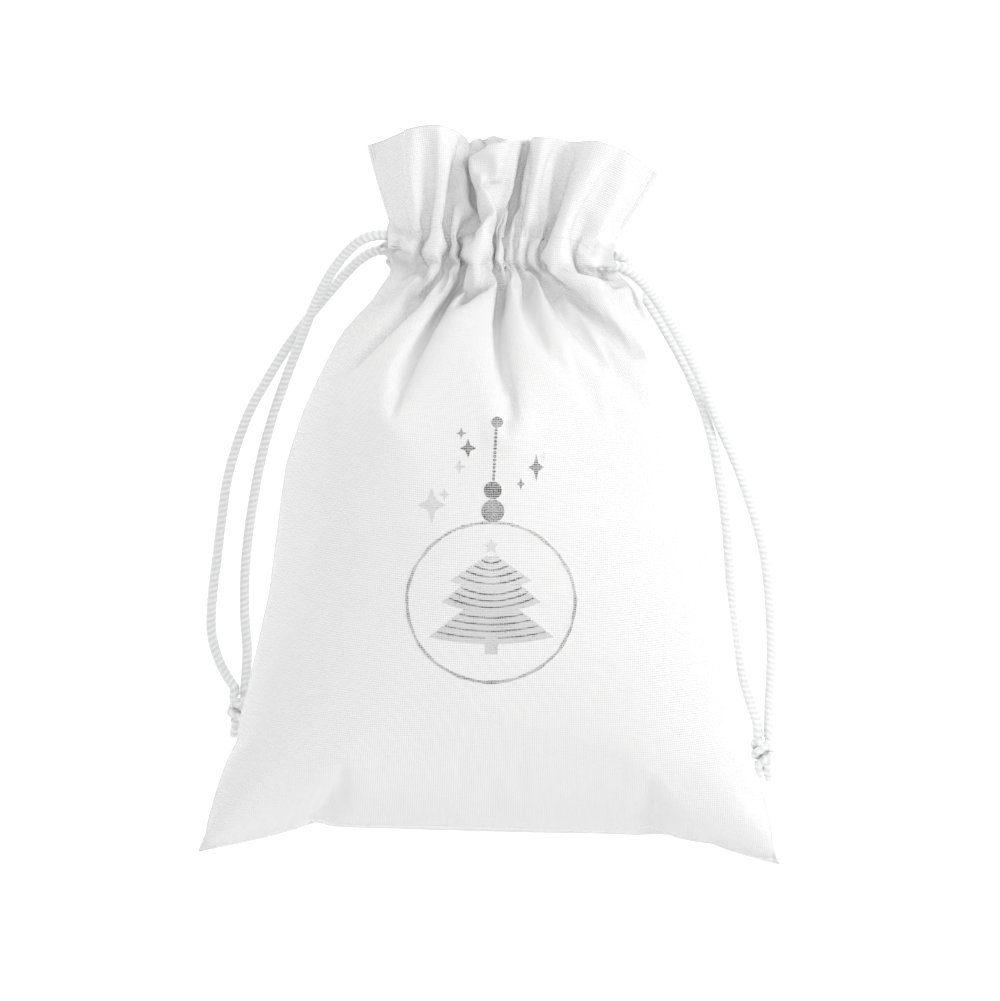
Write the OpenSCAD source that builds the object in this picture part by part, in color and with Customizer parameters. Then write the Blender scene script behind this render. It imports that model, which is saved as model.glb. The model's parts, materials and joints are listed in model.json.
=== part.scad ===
// Small drawstring gift pouch of white cotton, stuffed and drawn shut, lying on its back.
// Millimetres. +X is right, +Y points to the mouth, +Z is up; the back rests on z = 0.

/* [Pouch] */
// Half of the width across the two bottom corners
corner_x = 73.5; // [70:0.5:77]
// Distance from the origin to the bottom corners, measured down the pouch
corner_y = 92.1; // [90:0.1:95]
// Distance from the origin to the edge of the ruffle, measured up the pouch
mouth_y = 90; // [86:0.5:94]
// How far the middle of the bottom edge is pulled in by the filling
bottom_bow = 8.5; // [4:0.5:12]
// Thickness of the woven cloth
cloth_t = 0.8; // [0.6:0.1:1]

/* [Neck] */
// Half of the width of the gathered neck
neck_x = 26.7; // [26:0.1:28]
// Middle of the cord casing, measured up the pouch
neck_y = 61.9; // [61:0.1:63]
// Height of the middle of the neck above the table
neck_z = 22; // [20:0.5:24]
// How far the neck sits to the right of the bottom
neck_lean = 2.2; // [0:0.1:3]
// Angle by which the neck is turned clockwise
neck_tilt = 4.7; // [0:0.1:6]
// Half of the opening between the two facings in the neck
throat_half = 3.4; // [3:0.1:4]

/* [Cords] */
// Diameter of the satin cord
cord_d = 2.6; // [2.4:0.1:2.6]
// Free room around a cord in its casing
cord_play = 0.3; // [0.3:0.05:0.4]
// Length of each cord lead that can be drawn out of the casing
pull_travel = 18; // [10:1:18]
// Sideways distance of a cord from the middle of its casing
lane_y = 1.6; // [1.55:0.05:1.7]
// Diameter of the knot at its middle
knot_d = 6.6; // [6:0.1:6.6]
// Length of the knot
knot_len = 7; // [6:0.5:8]

/* [Print] */
// Middle of the bauble ring
bauble_y = -27; // [-30:1:-24]
// Outer radius of the bauble ring
bauble_r = 21.5; // [20:0.5:22]
// Width of the bauble's line
bauble_line = 0.9; // [0.7:0.1:1.2]
// Thickness of the foil film
foil_t = 0.25; // [0.2:0.05:0.4]

/* [Hidden] */

// Half of the thickness of the seam that is caught between the panels
seam_half = 0.3;
// Height left at the very edge of a panel, so that it ends in a narrow face
edge_t = 0.5;
// Half of the band between the two rows of casing stitching, and the edge of its open part
band_half = 3.7;
open_half = 3.1;
// Height of the cords' channel, and the height of its middle above the middle of the neck
channel_h = cord_d + 2 * cord_play;
lane_z = throat_half + cloth_t + channel_h / 2;
neck_h = lane_z + channel_h / 2 + cloth_t;

// Stations up the pouch: [y, half width, rise of the front, drop of the back, height of the seam]
stations = [
    [-corner_y,          corner_x,       0.8,      0.8,      5],
    [-89,                corner_x - 0.6, 4,        6.4,      6],
    [-84,                corner_x - 1.5, 9,        8.4,      7.5],
    [-76,                70.6,           15,       10.6,     9.5],
    [-66,                67.2,           20.5,     13.4,     12],
    [-54,                63.6,           25.5,     16.8,     15],
    [-40,                61.2,           29.5,     20.8,     18.5],
    [-24,                58.4,           32,       24,       21.5],
    [-8,                 56.8,           33,       25.6,     23],
    [8,                  54.6,           32.5,     26,       23.5],
    [22,                 50.6,           30,       25.4,     23.5],
    [34,                 45.4,           25.5,     22,       neck_z + 1],
    [43,                 40.3,           20,       17.5,     neck_z + 0.5],
    [50,                 34.8,           15,       13.5,     neck_z],
    [55,                 29.8,           11,       10.4,     neck_z],
    [neck_y - band_half, neck_x + 0.2,   neck_h,   neck_h,   neck_z],
    [neck_y - open_half, neck_x,         neck_h,   neck_h,   neck_z],
    [neck_y + open_half, neck_x,         neck_h,   neck_h,   neck_z],
    [neck_y + band_half, neck_x + 0.3,   neck_h,   neck_h,   neck_z],
    [70,                 29,             9.6,      9.6,      neck_z],
    [76,                 31.4,           11.5,     11.5,     neck_z],
    [83,                 33.6,           13,       13,       neck_z],
    [mouth_y,            35,             14,       14,       neck_z]];
casing_rows = [15, 16, 17, 18];
last_row = len(stations) - 1;

// Columns across the pouch: a sine spacing over the inside, and one more at each outer edge
half_cols = 6;
last_col = 2 * half_cols + 2;
facing_cols = 3;

// Cord routes, from the mouth of the casing to the knot
left_front_route = [
    [-24.1, 65.7, 27.8], [-28.1, 66, 27.8], [-32.4, 64.8, 26.6], [-36.4, 61.6, 23.6],
    [-40.2, 57, 19.6], [-43.2, 52, 15.2], [-45.8, 46.8, 10.8], [-48.2, 41, 6.8],
    [-51, 34.4, 3.8], [-53.8, 27, 2], [-56.4, 19.4, 1.4], [-59, 9.6, 1.4],
    [-61, -1, 1.4], [-62.4, -11, 1.4], [-63.2, -21, 1.4], [-63.2, -31, 1.4],
    [-62.6, -39, 1.4], [-62.8, -45, 2], [-63, -49, 3.3], [-63, -51, 3.3]];
left_back_route = [
    [-24.3, 62.5, 16.2], [-28.3, 62.8, 16.2], [-32.4, 61, 14.4], [-36.8, 57.2, 11.2],
    [-42, 51.4, 7.6], [-47, 45.6, 4.8], [-52.6, 38, 2.4], [-57.8, 29.6, 1.4],
    [-62, 22, 1.4], [-65.4, 13, 1.4], [-67.8, 4, 1.4], [-69.2, -6, 1.4],
    [-70.4, -16, 1.4], [-71.6, -26, 1.4], [-71.8, -35, 1.4], [-70, -42, 1.4],
    [-67.6, -46.6, 2.2], [-65.8, -49.2, 3.3], [-65.8, -51, 3.3]];
right_front_route = [
    [29.5, 58.1, 27.8], [33.5, 57.8, 27.8], [37.4, 55.4, 26], [41.4, 51.2, 21.8],
    [45.6, 45.2, 17], [49.4, 39, 12.4], [53, 32.6, 8.4], [56.4, 25.2, 5],
    [59.6, 17.6, 2.6], [63, 10, 1.5], [66.2, 1.4, 1.4], [68.9, -7, 1.4],
    [70.8, -15, 1.4], [72, -25, 1.4], [72.6, -35, 1.4], [72.6, -44, 1.4],
    [72.2, -52, 1.6], [72, -57.6, 2.6], [71.9, -60.4, 3.3], [71.9, -62, 3.3]];
right_back_route = [
    [29.7, 61.3, 16.2], [33.7, 61, 16.2], [37, 56.4, 14], [40.6, 49.8, 10.8],
    [44.8, 43.2, 7.6], [48.6, 36.8, 4.8], [52, 30.2, 2.6], [55.2, 22.4, 1.5],
    [57.8, 13, 1.4], [59.6, 3, 1.4], [61, -7, 1.4], [61.8, -17, 1.4],
    [62.4, -27, 1.4], [63.4, -37, 1.4], [65.2, -46, 1.4], [67.2, -53, 1.8],
    [68.8, -58, 3], [69.1, -60.4, 3.3], [69.1, -62, 3.3]];
cord_sides = 8;

// Knots: the middle of each knot's top face
left_knot_at = [-64.4, -51, 3.3];
right_knot_at = [70.5, -62, 3.3];
strand_apart = 1.4;

// Print: half widths of the tree up its height, [height above the trunk's foot, half width]
tree_foot_y = -42;
tree_rows = [[0, 1.5], [3.8, 1.5], [4, 15.5], [8, 8.5], [12.5, 4.6], [12.7, 12], [16.5, 6.5],
             [20.5, 3.6], [20.7, 10], [24, 4.6], [28, 0.8], [29.5, 1.6], [31, 0.3]];
// Sparkles: [x, y, reach]
sparkles = [[-14.6, -2, 4.4], [-11, 0.6, 1.7], [-7.6, 7.5, 1.9], [-6, 12.6, 2.4], [-7.4, 16.2, 1.6],
            [11.8, 7.6, 3.6], [7.8, 3.2, 1.7], [14, 10.6, 1.7]];

// --- Shape of the cloth -------------------------------------------------------------------

function ease(t) = let (c = min(max(t, 0), 1)) c * c * (3 - 2 * c);
function mix(a, b, t) = a + (b - a) * t;
function column(k) = [for (s = stations) [s[0], s[k]]];
function half_width(y) = lookup(y, column(1));
function front_rise(y) = lookup(y, column(2));
function back_drop(y) = lookup(y, column(3));
function seam_height(y) = lookup(y, column(4));

// Cross-section of a stuffed half, from 1 in the middle to 0 at the side
function crown(s) = pow(max(0, 1 - pow(abs(s), 2.4)), 0.55);

// The pouch lies a little askew: the bottom bows in, the top leans and the neck is turned
function drape(p) =
    let (u = p[0] / half_width(p[1]),
         bow = bottom_bow * (1 - u * u) * (1 - ease((p[1] + corner_y) / 50)),
         lean = neck_lean * ease((p[1] + 70) / 50) + 0.5 * ease((p[1] - 30) / 30),
         turn = tan(neck_tilt) * p[0] * ease((p[1] - 10) / 45))
    [p[0] + lean, p[1] + bow - turn, p[2]];

// Across position of column j at station i; the last column on each side is the outer edge
function across(i, j) =
    let (w = stations[i][1])
    j == 0 ? -w : j == last_col ? w : (w - cloth_t) * sin((j - 1 - half_cols) * 90 / half_cols);
function is_open(i) = i == casing_rows[1] || i == casing_rows[2];

// Height of the outer and the inner face above the seam, for a half that rises by rise
function outer_h(i, j, rise) =
    is_open(i) ? rise : seam_half + max(edge_t, rise * crown(across(i, j) / stations[i][1]));
function inner_h(i, j, rise) =
    is_open(i) ? rise - cloth_t
    : seam_half + max(0, rise - cloth_t) * crown(across(i, j) / (stations[i][1] - cloth_t));
function facing_top_h(i, j, rise) = is_open(i) ? throat_half + cloth_t : inner_h(i, j, rise);

// Points of one face: the front rises h above the seam, the back drops h below it to floor_z at most
function front_point(i, j, h) =
    drape([across(i, j), stations[i][0], stations[i][4] + h]);
function back_point(i, j, h, floor_z) =
    drape([across(i, j), stations[i][0], max(floor_z, stations[i][4] - h)]);

// Faces of a solid between two grids of points of r rows and c columns, the first one on top
function grid_faces(r, c) =
    let (n = r * c, at = function (i, j) i * c + j)
    concat(
        [for (i = [0:r - 2], j = [0:c - 2]) each
            [[at(i, j), at(i + 1, j + 1), at(i, j + 1)], [at(i, j), at(i + 1, j), at(i + 1, j + 1)]]],
        [for (i = [0:r - 2], j = [0:c - 2]) each
            [[n + at(i, j), n + at(i, j + 1), n + at(i + 1, j + 1)],
             [n + at(i, j), n + at(i + 1, j + 1), n + at(i + 1, j)]]],
        [for (i = [0:r - 2]) each
            [[at(i, 0), n + at(i, 0), n + at(i + 1, 0)], [at(i, 0), n + at(i + 1, 0), at(i + 1, 0)],
             [at(i + 1, c - 1), n + at(i + 1, c - 1), n + at(i, c - 1)],
             [at(i + 1, c - 1), n + at(i, c - 1), at(i, c - 1)]]],
        [for (j = [0:c - 2]) each
            [[at(0, j + 1), n + at(0, j + 1), n + at(0, j)], [at(0, j + 1), n + at(0, j), at(0, j)],
             [at(r - 1, j), n + at(r - 1, j), n + at(r - 1, j + 1)],
             [at(r - 1, j), n + at(r - 1, j + 1), at(r - 1, j + 1)]]]);

module slab(top, bottom) {
    polyhedron(points = concat([for (row = top) each row], [for (row = bottom) each row]),
               faces = grid_faces(len(top), len(top[0])), convexity = 6);
}

// --- Cloth --------------------------------------------------------------------------------

module front_panel() {
    color("white") slab(
        [for (i = [0:last_row]) [for (j = [0:last_col]) front_point(i, j, outer_h(i, j, stations[i][2]))]],
        [for (i = [0:last_row]) [for (j = [0:last_col]) front_point(i, j, inner_h(i, j, stations[i][2]))]]);
}

module back_panel() {
    color("white") slab(
        [for (i = [0:last_row]) [for (j = [0:last_col])
            back_point(i, j, inner_h(i, j, stations[i][3]), cloth_t)]],
        [for (i = [0:last_row]) [for (j = [0:last_col])
            back_point(i, j, outer_h(i, j, stations[i][3]), 0)]]);
}

// The top of each panel is turned in and sewn down, which makes the casing
facing_js = [for (j = [1 + half_cols - facing_cols:1 + half_cols + facing_cols]) j];
facing_is = [for (i = [casing_rows[0]:last_row]) i];

module front_facing() {
    color("whitesmoke") slab(
        [for (i = facing_is) [for (j = facing_js) front_point(i, j, facing_top_h(i, j, stations[i][2]))]],
        [for (i = facing_is) [for (j = facing_js)
            front_point(i, j, facing_top_h(i, j, stations[i][2]) - cloth_t)]]);
}

module back_facing() {
    color("whitesmoke") slab(
        [for (i = facing_is) [for (j = facing_js)
            back_point(i, j, facing_top_h(i, j, stations[i][3]) - cloth_t, 0)]],
        [for (i = facing_is) [for (j = facing_js)
            back_point(i, j, facing_top_h(i, j, stations[i][3]), 0)]]);
}

// A seam is the sewn edge between the two panels, over some stations and columns
module seam(is, js) {
    color("snow") slab(
        [for (i = is) [for (j = js) front_point(i, j, seam_half)]],
        [for (i = is) [for (j = js) front_point(i, j, -seam_half)]]);
}

module side_seam(edge) seam([for (i = [1:casing_rows[0]]) i], [edge, edge + 1]);
module header_seam(edge) seam([for (i = [casing_rows[3]:last_row]) i], [edge, edge + 1]);
module bottom_seam() seam([0, 1], [for (j = [0:last_col]) j]);

// --- What lies on the cloth ---------------------------------------------------------------

function front_z(x, y) =
    seam_height(y) + seam_half + front_rise(y) * crown(x / half_width(y));
function back_z(x, y) =
    seam_height(y) - seam_half - back_drop(y) * crown(x / half_width(y));

// A film between two edges, each a list of [x, y], with cols strips across
film_gap = 0.2;
module film(left, right, cols, thick) {
    grid = [for (i = [0:len(left) - 1]) [for (j = [0:cols]) mix(left[i], right[i], j / cols)]];
    slab([for (row = grid) [for (p = row) drape([p[0], p[1], front_z(p[0], p[1]) + film_gap + thick])]],
         [for (row = grid) [for (p = row) drape([p[0], p[1], front_z(p[0], p[1]) + film_gap])]]);
}
module back_film(left, right, cols, thick) {
    grid = [for (i = [0:len(left) - 1]) [for (j = [0:cols]) mix(left[i], right[i], j / cols)]];
    slab([for (row = grid) [for (p = row) drape([p[0], p[1], back_z(p[0], p[1]) - film_gap])]],
         [for (row = grid) [for (p = row) drape([p[0], p[1], back_z(p[0], p[1]) - film_gap - thick])]]);
}

stitch_w = 0.5;
stitch_t = 0.3;
stitch_reach = 23;
stitch_half = band_half + 0.5;
function stitch_edge(x, y) = [[x, y - stitch_w / 2], [x, y + stitch_w / 2]];

module front_stitching(y) {
    color("white") film(stitch_edge(-stitch_reach, y), stitch_edge(stitch_reach, y), 16, stitch_t);
}
module back_stitching(y) {
    color("white") back_film(stitch_edge(-stitch_reach, y), stitch_edge(stitch_reach, y), 16, stitch_t);
}

// Edges of a shape that is symmetric about x = cx, from rows of [y, half width]
function left_edge(cx, rows) = [for (r = rows) [cx - r[1], r[0]]];
function right_edge(cx, rows) = [for (r = rows) [cx + r[1], r[0]]];

ring_gap = 6;
function ring_points(r) =
    [for (a = [90 + ring_gap:8.7:450 - ring_gap]) [r * cos(a), bauble_y + r * sin(a)]];
module foil_ring() {
    color("silver") film(ring_points(bauble_r), ring_points(bauble_r - bauble_line), 1, foil_t);
}

cap_low = [bauble_y + bauble_r + 2.4, 3];
cap_high = [cap_low[0] + 5, 2.3];
function disc_w(disc, y) = sqrt(max(0, disc[1] * disc[1] - (y - disc[0]) * (y - disc[0])));
module foil_cap() {
    rows = [for (y = [cap_low[0] - cap_low[1] + 0.1:0.8:cap_high[0] + cap_high[1]])
        [y, max(0.2, disc_w(cap_low, y), disc_w(cap_high, y))]];
    color("silver") film(left_edge(0.4, rows), right_edge(0.4, rows), 2, foil_t);
}

chain_pitch = 1.2;
chain_beads = 12;
chain_foot = cap_high[0] + cap_high[1] + 0.3;
module foil_chain() {
    rows = concat(
        [for (k = [0:2 * chain_beads]) [chain_foot + k * chain_pitch / 2, k % 2 == 0 ? 0.2 : 0.5]],
        [for (a = [-60:30:90]) [chain_foot + chain_beads * chain_pitch + 1.6 * (1 + sin(a)), 1.4 * cos(a) + 0.2]]);
    color("silver") film(left_edge(1.6, rows), right_edge(1.6, rows), 1, foil_t);
}

module foil_tree() {
    rows = [for (r = tree_rows) [tree_foot_y + r[0], r[1]]];
    color("silver") film(left_edge(0, rows), right_edge(0, rows), 6, foil_t);
}

module foil_sparkles() {
    color("silver") for (s = sparkles) {
        rows = [for (k = [-4:4]) [s[1] + s[2] * k / 4, 0.1 + 0.75 * s[2] * pow(1 - abs(k) / 4, 2)]];
        film(left_edge(s[0], rows), right_edge(s[0], rows), 2, foil_t);
    }
}

// --- Cords --------------------------------------------------------------------------------

function unit(v) = v / norm(v);
function tangent(path, i) =
    unit(path[min(i + 1, len(path) - 1)] - path[max(i - 1, 0)]);
// A ring of points around a path; across is a direction that the path never takes
function ring(path, i, r, across) =
    let (t = tangent(path, i), side = unit(cross(across, t)), up = cross(t, side))
    [for (k = [0:cord_sides - 1])
        path[i] + r * (cos(360 * k / cord_sides) * side + sin(360 * k / cord_sides) * up)];

module tube(path, d, across = [0, 0, 1]) {
    n = len(path);
    s = cord_sides;
    points = [for (i = [0:n - 1]) each ring(path, i, d / 2, across)];
    wall = [for (i = [0:n - 2], k = [0:s - 1]) each
        [[i * s + k, (i + 1) * s + (k + 1) % s, i * s + (k + 1) % s],
         [i * s + k, (i + 1) * s + k, (i + 1) * s + (k + 1) % s]]];
    ends = [[for (k = [0:s - 1]) k], [for (k = [s - 1:-1:0]) (n - 1) * s + k]];
    polyhedron(points = points, faces = concat(wall, ends), convexity = 8);
}

// The frame of the gathered neck, in which the casing runs straight along X
module at_neck() {
    translate([neck_lean + 0.5, neck_y, neck_z]) rotate([0, 0, -neck_tilt]) children();
}

// The part of a cord that stays in the casing: out along the front, round the end and back
turn_r = norm([lane_y, lane_z]);
turn_x = neck_x - 2 - cord_d / 2 - turn_r;
run_x = neck_x - pull_travel;
turn_steps = 10;
run_route = concat(
    [[-run_x, lane_y, lane_z]],
    [for (k = [0:turn_steps]) let (a = 180 * k / turn_steps)
        [turn_x + turn_r * sin(a), lane_y * cos(a), lane_z * cos(a)]],
    [[-run_x, -lane_y, -lane_z]]);
module cord_run() {
    color("snow") tube(run_route, cord_d, [0, 1, 0]);
}
module left_cord_run() at_neck() cord_run();
module right_cord_run() at_neck() rotate([0, 0, 180]) cord_run();

// The straight lead inside the casing that is drawn out when the cord is pulled
module lead(side, half) {
    color("snow") at_neck() rotate([0, 0, side > 0 ? 180 : 0])
        translate([-neck_x, half * lane_y, half * lane_z])
            rotate([0, 90, 0]) cylinder(d = cord_d, h = pull_travel, $fn = 32);
}

module strand(route) color("white") tube(route, cord_d);

// A pulled-tight overhand knot, as a barrel between two flat faces
module knot(at) {
    mid = knot_len / 2;
    color("white") translate(at) rotate([90, 0, 0]) rotate_extrude($fn = 48)
        polygon([[0, 0], [2.75, 0], [knot_d / 2, mid - 1], [knot_d / 2, mid + 1], [2.75, knot_len], [0, knot_len]]);
}

// The cut end of one strand below the knot
module tail(at, side, length) {
    foot = at - [0, knot_len, 0];
    color("white") tube([foot + [side * strand_apart, 0, 0],
                         foot + [side * strand_apart, -length / 2, 0],
                         foot + [side * (strand_apart + 0.5), -length, -1.2]], cord_d);
}

front_panel();
back_panel();
front_facing();
back_facing();
side_seam(0);  // left_side_seam
side_seam(last_col - 1);  // right_side_seam
bottom_seam();
header_seam(0);  // left_header_seam
header_seam(last_col - 1);  // right_header_seam
front_stitching(neck_y + stitch_half);  // front_upper_stitching
front_stitching(neck_y - stitch_half);  // front_lower_stitching
back_stitching(neck_y + stitch_half);  // back_upper_stitching
back_stitching(neck_y - stitch_half);  // back_lower_stitching
left_cord_run();
right_cord_run();
lead(-1, 1);  // left_front_lead
lead(-1, -1);  // left_back_lead
lead(1, 1);  // right_front_lead
lead(1, -1);  // right_back_lead
strand(left_front_route);  // left_front_strand
strand(left_back_route);  // left_back_strand
strand(right_front_route);  // right_front_strand
strand(right_back_route);  // right_back_strand
knot(left_knot_at);  // left_knot
knot(right_knot_at);  // right_knot
tail(left_knot_at, 1, 4.4);  // left_front_tail
tail(left_knot_at, -1, 3.6);  // left_back_tail
tail(right_knot_at, 1, 3.8);  // right_front_tail
tail(right_knot_at, -1, 4.6);  // right_back_tail
foil_ring();
foil_cap();
foil_chain();
foil_tree();
foil_sparkles();
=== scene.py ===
"""Looks of the drawstring gift pouch: cords, simulated cloth, stitching, foil print, materials, studio.

The shapes are worked out in millimetres, in the frame of the CAD model, and made in metres.
"""
import json
import math

import bpy
import numpy as np
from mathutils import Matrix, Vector
from mathutils.bvhtree import BVHTree

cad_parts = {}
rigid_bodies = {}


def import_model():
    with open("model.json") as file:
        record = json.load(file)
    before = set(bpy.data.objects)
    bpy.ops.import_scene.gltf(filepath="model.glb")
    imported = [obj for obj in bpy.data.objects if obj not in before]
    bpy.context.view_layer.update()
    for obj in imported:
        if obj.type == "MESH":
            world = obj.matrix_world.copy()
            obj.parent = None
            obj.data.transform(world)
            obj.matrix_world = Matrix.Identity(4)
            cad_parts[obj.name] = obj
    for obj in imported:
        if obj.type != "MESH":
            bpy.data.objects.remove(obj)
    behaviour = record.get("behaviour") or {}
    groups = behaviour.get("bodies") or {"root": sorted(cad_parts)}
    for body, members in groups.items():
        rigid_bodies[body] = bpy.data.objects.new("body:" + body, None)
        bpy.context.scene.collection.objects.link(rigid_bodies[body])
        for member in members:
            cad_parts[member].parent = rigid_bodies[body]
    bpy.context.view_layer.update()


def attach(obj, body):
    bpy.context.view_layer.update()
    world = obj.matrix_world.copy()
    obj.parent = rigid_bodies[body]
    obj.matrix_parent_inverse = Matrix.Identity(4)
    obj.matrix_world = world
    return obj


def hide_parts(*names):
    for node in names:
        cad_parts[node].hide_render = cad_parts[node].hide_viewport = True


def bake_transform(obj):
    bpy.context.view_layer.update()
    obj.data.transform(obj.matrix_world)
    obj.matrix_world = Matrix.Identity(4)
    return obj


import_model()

MM = 0.001

# --- Driving dimensions, millimetres ---
FLAT_W, FLAT_L = 150.0, 200.0          # each panel, cut size without seams
STITCH_LOW, STITCH_HIGH = 165.5, 174.0  # rows of stitching that make the casing, up the flat panel
NECK = np.array([2.7, 61.9, 22.0])     # middle of the gathered neck
NECK_TILT = math.radians(4.7)
NECK_HALF = 26.7                       # half width of the neck
CASING_Z = 7.4                         # height of the casing's valleys above the neck's middle
CORD_D = 2.6
LANE_Y, LANE_Z = 1.6, 5.8              # a cord's place in the casing
PULL = 18.0                            # travel of each pair of leads
CLOTH_T = 0.8
FACING_T, FACING_GAP = 0.6, 0.05       # thickness of the facing, and its gap to the panel
END_REACH = 7.0                        # the facings come together over this much cloth at the casing's ends
SEAM_R, SEAM_SUNK = 0.34, 0.12         # a sewn edge, and how deep it lies between the panels
STITCH_PITCH, STITCH_LEN = 2.5, 1.9
STITCH_R, STITCH_PROUD = 0.13, 0.06    # how thick the thread is, and how far its middle stands out
STITCH_MARGIN = 5                      # no stitches this close to the ends of a row
FOIL_T, FOIL_SUNK = 0.10, 0.06         # how far a film stands out of the cloth, and reaches into it

# Pleats of the casing: (width in the neck, cloth taken up)
FRONT_PLEATS = [(6.2, 12), (7.3, 18), (2.9, 12), (9.0, 27), (2.7, 11), (2.5, 8), (3.0, 8),
                (3.3, 9), (9.2, 21), (7.3, 12)]
BACK_PLEATS = [(5.0, 12), (6.5, 16), (4.0, 12), (6.0, 17), (5.0, 13), (4.5, 13), (6.5, 16),
               (5.0, 13), (4.5, 12), (5.5, 14)]
# How far the pleats lean across for each millimetre up the casing, along the neck
LEAN_AT = (-27, -22, -15, -8, 0, 8, 18, 27)
LEAN = (0.0, 0.35, 0.5, 0.3, 0.15, -0.1, -0.3, 0.0)

# Edge of the mouth: (cloth from the left corner, x, height, y), from the neck's middle
FRONT_MOUTH = [(0, -32, 0, 27.6), (5, -29, 3.5, 28.4), (15, -23.6, 10.5, 31), (20.5, -19.5, 13, 32),
               (25.5, -15.3, 12.6, 31.8), (31.5, -11.8, 8.8, 30), (39.5, -8.5, 3.5, 26.5),
               (45, -6.6, -0.5, 23.5), (48, -6.4, -2.5, 22.5), (52, -7.2, 1.5, 22.6),
               (58, -7.3, 7.8, 23.2), (63.5, -5.4, 13.2, 24.2), (68.5, -2, 16.2, 25), (73.5, 2, 15.6, 26),
               (78.5, 5, 11.4, 27), (82.5, 6.2, 7.6, 27), (86, 6.4, 4.2, 26), (89.5, 7, 7.2, 27),
               (94.5, 8.2, 12, 28.6), (99.5, 10.8, 15.4, 29.1), (104, 13.8, 13.2, 29.3),
               (111.5, 17.4, 6, 28.8), (117, 20.8, 8.6, 29), (124.5, 25.4, 13.4, 28),
               (131, 30.8, 12.4, 26), (141, 35.8, 6, 23.4), (150, 38.6, 0, 21.5)]
BACK_MOUTH = [(0, -32, 0, 27.6), (6, -30, -5, 28), (15, -26, -13, 28), (21, -21, -15, 28),
              (30, -18, -7, 28.4), (34, -14.6, -5, 28.4), (43, -11.5, -13, 28.4), (50, -7, -16.5, 28.6),
              (56, -3, -15, 29.6), (66, 0.5, -5, 30.4), (70, 4, -4, 30.4), (79, 6.6, -12, 30.2),
              (86, 10, -16.5, 30), (92, 14, -14, 29.6), (101, 16.6, -5, 29.4), (105, 20.4, -4, 29),
              (114, 23, -12, 28.2), (120, 27, -14.5, 27.2), (130, 31.6, -9, 25.4), (140, 35.6, -4, 23.4),
              (150, 38.6, 0, 21.5)]

# The stuffed shape that the simulated cloth is fitted to: [y, half width, top of the front]
STATIONS = [(-92.1, 74.6, 8), (-84, 72.6, 17), (-76, 70.6, 25), (-66, 67.2, 33), (-54, 63.6, 41),
            (-40, 61.2, 48.5), (-24, 58.4, 54), (-8, 56.8, 56.6), (8, 54.6, 56.6), (22, 50.6, 54),
            (34, 45.4, 49), (43, 40.3, 43), (50, 34.8, 37.4), (54, 31.4, 34.5), (58, 28.6, 32)]

CORNER_Y = (-90.9, -94.4)              # bottom corners, left and right

# Cord routes, from the mouth of the casing to the knot, as in the CAD model
ROUTES = {
    "left_front": [
        (-24.1, 65.7, 27.8), (-28.1, 66, 27.8), (-32.4, 64.8, 26.6), (-36.4, 61.6, 23.6),
        (-40.2, 57, 19.6), (-43.2, 52, 15.2), (-45.8, 46.8, 10.8), (-48.2, 41, 6.8),
        (-51, 34.4, 3.8), (-53.8, 27, 2), (-56.4, 19.4, 1.4), (-59, 9.6, 1.4),
        (-61, -1, 1.4), (-62.4, -11, 1.4), (-63.2, -21, 1.4), (-63.2, -31, 1.4),
        (-62.6, -39, 1.4), (-62.8, -45, 2), (-63, -49, 3.3), (-63, -51, 3.3)],
    "left_back": [
        (-24.3, 62.5, 16.2), (-28.3, 62.8, 16.2), (-32.4, 61, 14.4), (-36.8, 57.2, 11.2),
        (-42, 51.4, 7.6), (-47, 45.6, 4.8), (-52.6, 38, 2.4), (-57.8, 29.6, 1.4),
        (-62, 22, 1.4), (-65.4, 13, 1.4), (-67.8, 4, 1.4), (-69.2, -6, 1.4),
        (-70.4, -16, 1.4), (-71.6, -26, 1.4), (-71.8, -35, 1.4), (-70, -42, 1.4),
        (-67.6, -46.6, 2.2), (-65.8, -49.2, 3.3), (-65.8, -51, 3.3)],
    "right_front": [
        (29.5, 58.1, 27.8), (33.5, 57.8, 27.8), (37.4, 55.4, 26), (41.4, 51.2, 21.8),
        (45.6, 45.2, 17), (49.4, 39, 12.4), (53, 32.6, 8.4), (56.4, 25.2, 5),
        (59.6, 17.6, 2.6), (63, 10, 1.5), (66.2, 1.4, 1.4), (68.9, -7, 1.4),
        (70.8, -15, 1.4), (72, -25, 1.4), (72.6, -35, 1.4), (72.6, -44, 1.4),
        (72.2, -52, 1.6), (72, -57.6, 2.6), (71.9, -60.4, 3.3), (71.9, -62, 3.3)],
    "right_back": [
        (29.7, 61.3, 16.2), (33.7, 61, 16.2), (37, 56.4, 14), (40.6, 49.8, 10.8),
        (44.8, 43.2, 7.6), (48.6, 36.8, 4.8), (52, 30.2, 2.6), (55.2, 22.4, 1.5),
        (57.8, 13, 1.4), (59.6, 3, 1.4), (61, -7, 1.4), (61.8, -17, 1.4),
        (62.4, -27, 1.4), (63.4, -37, 1.4), (65.2, -46, 1.4), (67.2, -53, 1.8),
        (68.8, -58, 3), (69.1, -60.4, 3.3), (69.1, -62, 3.3)]}
KNOTS = {"left": (-64.4, -51, 3.3), "right": (70.5, -62, 3.3)}
HANDS = {"front": 1, "back": -1}       # which way each half of the pouch faces
KNOT_L = 7.0
KNOT_R, TAIL_R = 1.12, 1.22            # the cord is pulled thinner in the knots and their tails
TAILS = {"left_front": 4.4, "left_back": 3.6, "right_front": 3.8, "right_back": 4.6}
RUN_END = 2.0                          # the hidden run turns this far before the end of the neck

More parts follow.
